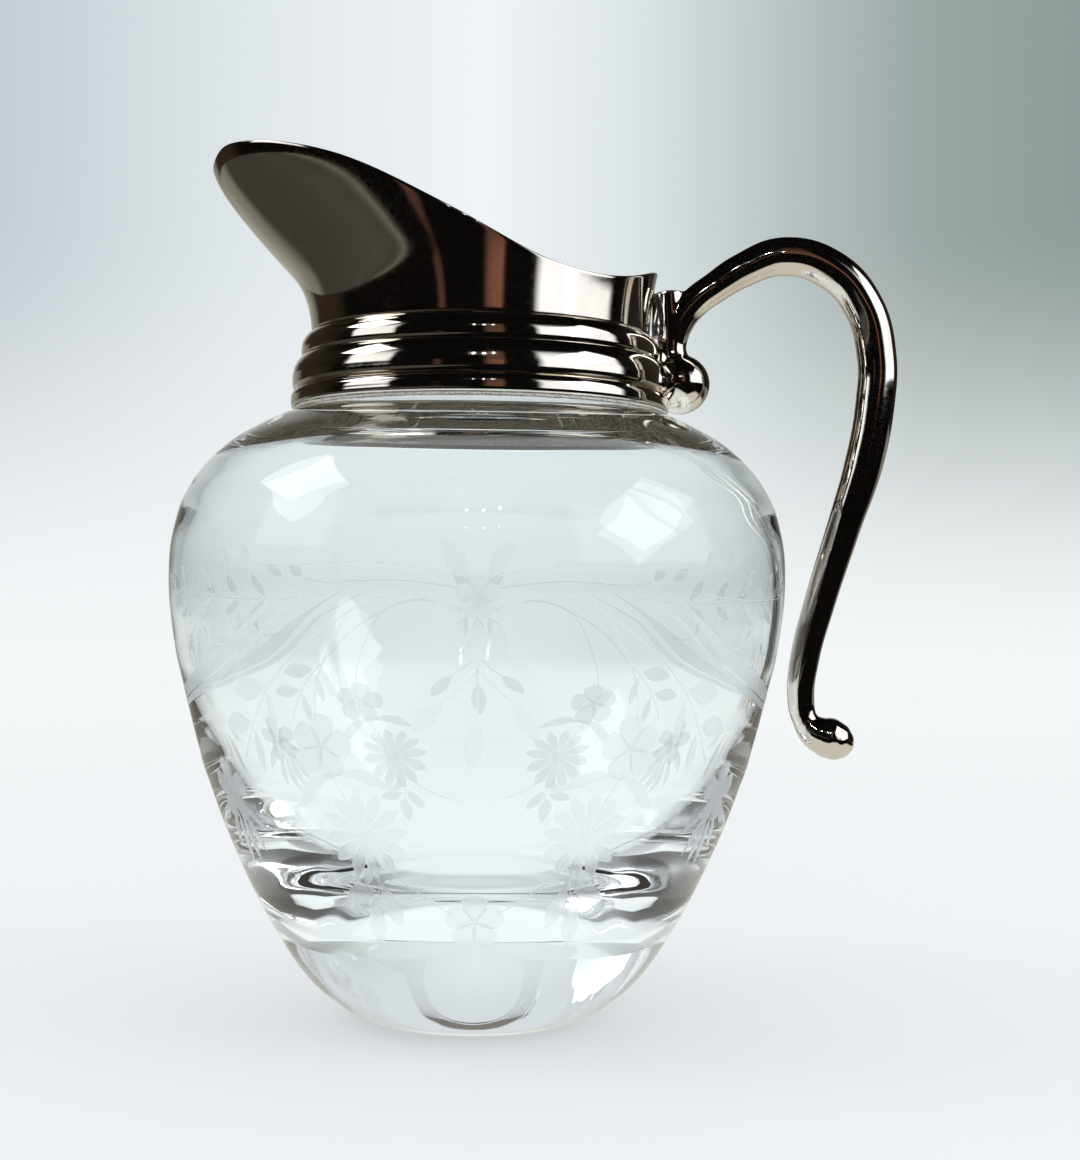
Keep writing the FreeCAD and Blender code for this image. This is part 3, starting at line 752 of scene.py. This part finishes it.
roomThrough = [
    (-180, (0.80, 0.87, 0.88)), (-160, (0.74, 0.81, 0.82)), (-146, (0.50, 0.54, 0.56)),
    (-122, (0.36, 0.38, 0.39)), (-95, (0.08, 0.08, 0.08)), (-60, (0.02, 0.018, 0.016)),
    (60, (0.02, 0.018, 0.016)), (95, (0.05, 0.05, 0.05)), (125, (0.12, 0.13, 0.13)),
    (146, (0.34, 0.37, 0.37)), (162, (0.66, 0.73, 0.73)), (180, (0.80, 0.87, 0.88)),
]
# the backdrop as the camera sees it: its darker bands behind the jug, on the handle's side and more faintly
# on the spout's side, are painted shade
backdrop = [
    (-180, (0.86, 0.90, 0.92)), (-173, (0.74, 0.79, 0.82)), (-166, (0.56, 0.61, 0.65)),
    (-150, (0.80, 0.84, 0.86)), (130, (0.80, 0.84, 0.86)), (152, (0.36, 0.42, 0.41)),
    (162, (0.27, 0.33, 0.32)), (167, (0.32, 0.38, 0.37)), (170, (0.43, 0.49, 0.49)),
    (173, (0.58, 0.64, 0.65)), (176, (0.74, 0.79, 0.80)), (180, (0.86, 0.90, 0.92)),
]


def toneAlong(nodes, links, value, stops):
    # colour by a value, from the first of the stops to the last
    low, high = stops[0][0], stops[-1][0]
    share = nodes.new("ShaderNodeMapRange")
    share.inputs["From Min"].default_value = low
    share.inputs["From Max"].default_value = high
    links.new(value, share.inputs["Value"])
    ramp = nodes.new("ShaderNodeValToRGB")
    elements = ramp.color_ramp.elements
    elements[0].color, elements[1].color = (*stops[0][1], 1), (*stops[-1][1], 1)
    for place, colour in stops[1:-1]:
        elements.new((place - low) / (high - low)).color = (*colour, 1)
    links.new(share.outputs["Result"], ramp.inputs["Fac"])
    return ramp.outputs["Color"]


def roundTheRoom(nodes, links, axes, stops):
    # colour by the direction from the jug's axis
    backwards = nodes.new("ShaderNodeMath")
    backwards.operation = "MULTIPLY"
    backwards.inputs[1].default_value = -1
    links.new(axes.outputs["Y"], backwards.inputs[0])
    around = nodes.new("ShaderNodeMath")
    around.operation = "ARCTAN2"
    links.new(axes.outputs["X"], around.inputs[0])
    links.new(backwards.outputs["Value"], around.inputs[1])
    degrees = nodes.new("ShaderNodeMath")
    degrees.operation = "DEGREES"
    links.new(around.outputs["Value"], degrees.inputs[0])
    return toneAlong(nodes, links, degrees.outputs["Value"], stops)


def makeFloor():
    bpy.ops.object.select_all(action="DESELECT")
    bpy.ops.mesh.primitive_plane_add(size=studio["width"], location=(0, 0, -studio["under"] * mm))
    floor = bpy.context.object
    floor.name = "floor"
    material, nodes, links, shader = newMaterial("paleFloor")
    shader.inputs["Base Color"].default_value = studio["floor"]
    shader.inputs["Roughness"].default_value = studio["rough"]
    shader.inputs["Specular IOR Level"].default_value = studio["gloss"]
    spot = nodes.new("ShaderNodeTexCoord")
    axes = nodes.new("ShaderNodeSeparateXYZ")
    links.new(spot.outputs["Object"], axes.inputs["Vector"])
    distance = nodes.new("ShaderNodeVectorMath")
    distance.operation = "LENGTH"
    links.new(spot.outputs["Object"], distance.inputs[0])
    path = nodes.new("ShaderNodeLightPath")
    sheetAxes = {"sheetFront": "Y", "sheetBack": "Y", "sheetLeft": "X", "sheetRight": "X"}
    ends = {edge: stepBetween(nodes, links, axes.outputs[axis], *studio[edge])
            for edge, axis in sheetAxes.items()}
    mirrored = mixColours(nodes, links, ends["sheetFront"], studio["dark"], studio["inMetal"])
    tableTone = toneAlong(nodes, links, axes.outputs["Y"], table)
    mirrored = mixColours(nodes, links, ends["sheetLeft"], tableTone, mirrored)
    mirrored = mixColours(nodes, links, ends["sheetRight"], mirrored, studio["dark"])
    backTone = roundTheRoom(nodes, links, axes, tableBack)
    mirrored = mixColours(nodes, links, ends["sheetBack"], mirrored, backTone)
    shown = mixColours(nodes, links, path.outputs["Is Glossy Ray"], studio["far"], mirrored)
    away = stepBetween(nodes, links, distance.outputs["Value"], *studio["nearGlass"])
    through = mixColours(nodes, links, away, studio["inGlass"], roundTheRoom(nodes, links, axes, roomThrough))
    shown = mixColours(nodes, links, path.outputs["Is Transmission Ray"], shown, through)
    glow = nodes.new("ShaderNodeEmission")
    links.new(shown, glow.inputs["Color"])
    seen = stepBetween(nodes, links, distance.outputs["Value"], *studio["fade"])
    for ray in ("Is Transmission Ray", "Is Glossy Ray"):
        larger = nodes.new("ShaderNodeMath")
        larger.operation = "MAXIMUM"
        links.new(seen, larger.inputs[0])
        links.new(path.outputs[ray], larger.inputs[1])
        seen = larger.outputs["Value"]
    blend = nodes.new("ShaderNodeMixShader")
    links.new(seen, blend.inputs["Fac"])
    links.new(shader.outputs["BSDF"], blend.inputs[1])
    links.new(glow.outputs["Emission"], blend.inputs[2])
    links.new(blend.outputs["Shader"], nodes["Material Output"].inputs["Surface"])
    floor.data.materials.append(material)


def makeWorld():
    world = bpy.data.worlds.new("studio")
    scene.world = world
    world.use_nodes = True
    nodes, links = world.node_tree.nodes, world.node_tree.links
    place = nodes.new("ShaderNodeTexCoord")
    axes = nodes.new("ShaderNodeSeparateXYZ")
    links.new(place.outputs["Generated"], axes.inputs["Vector"])
    path = nodes.new("ShaderNodeLightPath")

    def rising(edges, below, above):
        share = stepBetween(nodes, links, axes.outputs["Z"], *studio[edges])
        return mixColours(nodes, links, share, below, above)

    def allRound(stops):
        return roundTheRoom(nodes, links, axes, sorted(stops))

    walls = rising("toPanes", allRound(roomLow), allRound(roomLow + panes))
    walls = rising("toStreaks", walls, allRound(roomLow + panes + streaks))
    walls = rising("toDark", rising("toHigh", walls, allRound(roomHigh)), studio["dark"])
    shown = mixColours(nodes, links, path.outputs["Is Glossy Ray"], studio["fill"], walls)
    through = rising("toCeiling", allRound(roomThrough), studio["ceiling"])
    shown = mixColours(nodes, links, path.outputs["Is Transmission Ray"], shown, through)
    # camera rays see the pale backdrop with its painted shade above the horizon
    seen = rising("toBackdrop", studio["far"], allRound(backdrop))
    shown = mixColours(nodes, links, path.outputs["Is Camera Ray"], shown, seen)
    links.new(shown, nodes["Background"].inputs["Color"])


makeFloor()
makeWorld()

# degrees round and up from the jug, degrees turned in its own plane,
# metres away, width, height, shift along the width, brightness
lamps = {
    "leftWindow": (-84, 41, -20, 0.85, 0.40, 0.34, 0, 2.4),
    "rightWindow": (68, 27, 35, 0.85, 0.40, 0.34, -0.11, 2.4),
    "rightPane": (68, 27, 35, 0.85, 0.18, 0.34, 0.22, 1.6),
    "lampLeft": (-4.6, 28, 0, 1.2, 0.022, 0.022, 0, 30),
    "lampMiddle": (1.7, 28, 0, 1.2, 0.022, 0.022, 0, 30),
    "lampRight": (7.6, 29, 0, 1.2, 0.022, 0.022, 0, 30),
}
lampAim = Vector((0, 0, 0.13))  # a little above the middle of the jug
for name, (around, up, turn, away, width, height, shift, bright) in lamps.items():
    around, up, turn = math.radians(around), math.radians(up), math.radians(turn)
    way = Vector((math.sin(around) * math.cos(up), -math.cos(around) * math.cos(up), math.sin(up)))
    bpy.ops.object.light_add(type="AREA")
    lamp = bpy.context.object
    lamp.name = name
    lamp.matrix_world = (
        Matrix.Translation(way * away + lampAim) @ way.to_track_quat("Z", "Y").to_matrix().to_4x4()
        @ Matrix.Rotation(turn, 4, "Z") @ Matrix.Translation((shift, 0, 0))
    )
    lamp.data.shape = "RECTANGLE"
    lamp.data.size, lamp.data.size_y = width, height
    lamp.data.energy = bright * math.pi * width * height
    lamp.visible_camera = False

cameraSpot = {"place": (0, -0.488, 0.100), "yaw": -1.81, "up": 91.0, "roll": 0.65, "lens": 65.0}
bpy.ops.object.camera_add()
camera = bpy.context.object
camera.matrix_world = (
    Matrix.Translation(cameraSpot["place"])
    @ Matrix.Rotation(math.radians(cameraSpot["yaw"]), 4, "Z")
    @ Matrix.Rotation(math.radians(cameraSpot["up"]), 4, "X")
    @ Matrix.Rotation(math.radians(cameraSpot["roll"]), 4, "Z")
)
camera.data.sensor_fit = "HORIZONTAL"
camera.data.sensor_width = 36
camera.data.lens = cameraSpot["lens"]
camera.data.clip_start = 0.01
scene.camera = camera
print("stage set")

bpy.context.view_layer.update()
